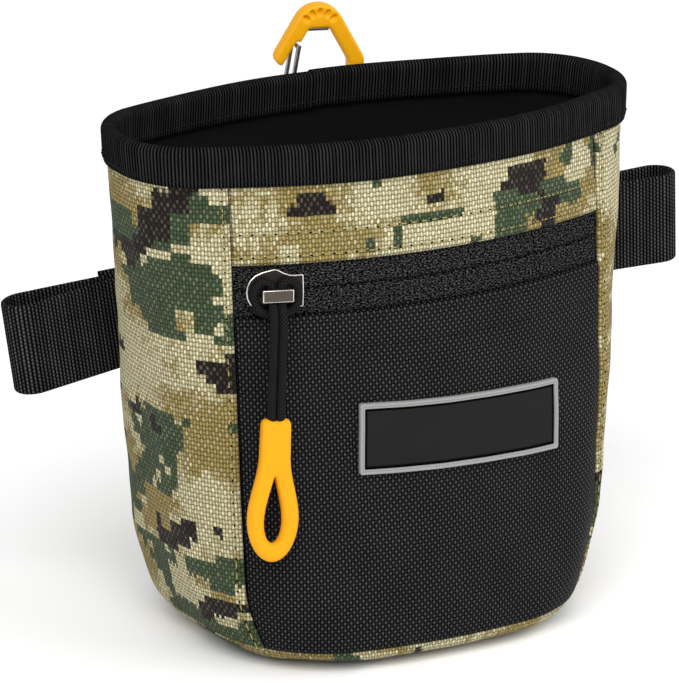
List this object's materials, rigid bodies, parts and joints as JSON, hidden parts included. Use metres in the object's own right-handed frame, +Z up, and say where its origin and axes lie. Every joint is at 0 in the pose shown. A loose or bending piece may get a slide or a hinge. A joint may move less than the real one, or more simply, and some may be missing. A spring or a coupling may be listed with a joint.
{
  "type": "treat pouch",
  "caption": "Soft open-top belt pouch of sewn camouflage cloth with a bound rim, a zipped black front pocket with a corded pull tab, webbing side loops and a wire-gate hook on a hanger",
  "frame": {"origin": "middle of the base, on the surface that the pouch stands on", "axes": "+X to the wearer's left, seen as the right in the picture; -Y is the zipped front; +Z is up"},
  "size_m": [0.2025, 0.0958, 0.1552],
  "materials": {
    "camo_cloth": "coarse woven polyester printed with small square blocks of sand, olive, green and brown",
    "pocket_cloth": "black basket-weave nylon",
    "lining_cloth": "smooth black woven lining",
    "binding_tape": "black ribbed binding tape",
    "zip_tape": "fine black woven zip tape",
    "zip_coil": "black nylon coil",
    "slider_metal": "dark gunmetal plate with worn bright edges",
    "pull_cord": "black braided cord",
    "tab_rubber": "soft matte orange",
    "label_rubber": "soft matte black",
    "label_border": "soft matte grey",
    "webbing": "black ribbed webbing",
    "hook_plastic": "satin orange moulding",
    "wire_steel": "bright drawn wire"
  },
  "bodies": {
    "pouch": {"front_upper_panel": "camo_cloth", "front_pocket_panel": "pocket_cloth", "left_side_panel": "camo_cloth", "right_side_panel": "camo_cloth", "back_panel": "camo_cloth", "bottom_panel": "camo_cloth", "pocket_back": "lining_cloth", "lining": "lining_cloth", "rim_binding": "binding_tape", "zip_tape_upper": "zip_tape", "zip_tape_lower": "zip_tape", "zip_coil_upper": "zip_coil", "zip_coil_lower": "zip_coil", "label_plate": "label_rubber", "label_border": "label_border", "back_webbing": "webbing", "hanger_loop": "webbing"},
    "zip_slider": {"slider_body": "slider_metal", "slider_bridge": "slider_metal", "cord_hitch": "pull_cord"},
    "zip_pull": {"pull_cord": "pull_cord", "pull_tab": "tab_rubber"},
    "left_loop": {"left_webbing_loop": "webbing"},
    "right_loop": {"right_webbing_loop": "webbing"},
    "hook": {"hook_body": "hook_plastic", "hook_wear_pin": "wire_steel"},
    "gate": {"hook_gate": "wire_steel"}
  },
  "joints": [
    {"name": "zip_travel", "type": "hinge", "parent": "pouch", "child": "zip_slider", "pos_m": [0, 0.12, 0.1033], "axis": [0, 0, 1], "range_deg": [0, 34.8]},
    {"name": "pull_swing", "type": "hinge", "parent": "zip_slider", "child": "zip_pull", "pos_m": [-0.04709, -0.03026, 0.09515], "axis": [-0.9542, 0.299, 0], "range_deg": [0, 100]},
    {"name": "left_loop_flex", "type": "hinge", "parent": "pouch", "child": "left_loop", "pos_m": [-0.05269, 0.03622, 0.0793], "axis": [0.1625, -0.0287, -0.9863], "range_deg": [-25, 60], "stiffness_Nm_per_rad": 0.01},
    {"name": "right_loop_flex", "type": "hinge", "parent": "pouch", "child": "right_loop", "pos_m": [0.05222, 0.03519, 0.0861], "axis": [0, 0, 1], "range_deg": [-15, 75], "stiffness_Nm_per_rad": 0.01},
    {"name": "hook_swing", "type": "hinge", "parent": "pouch", "child": "hook", "pos_m": [0.008, 0.0458, 0.1122], "axis": [-0.9613, 0.2756, 0], "range_deg": [0, 150]},
    {"name": "gate_open", "type": "hinge", "parent": "hook", "child": "gate", "pos_m": [-0.002, 0.04867, 0.1158], "axis": [0.2756, 0.9613, 0], "range_deg": [0, 25], "stiffness_Nm_per_rad": 0.02, "springref_deg": -8.59}
  ]
}
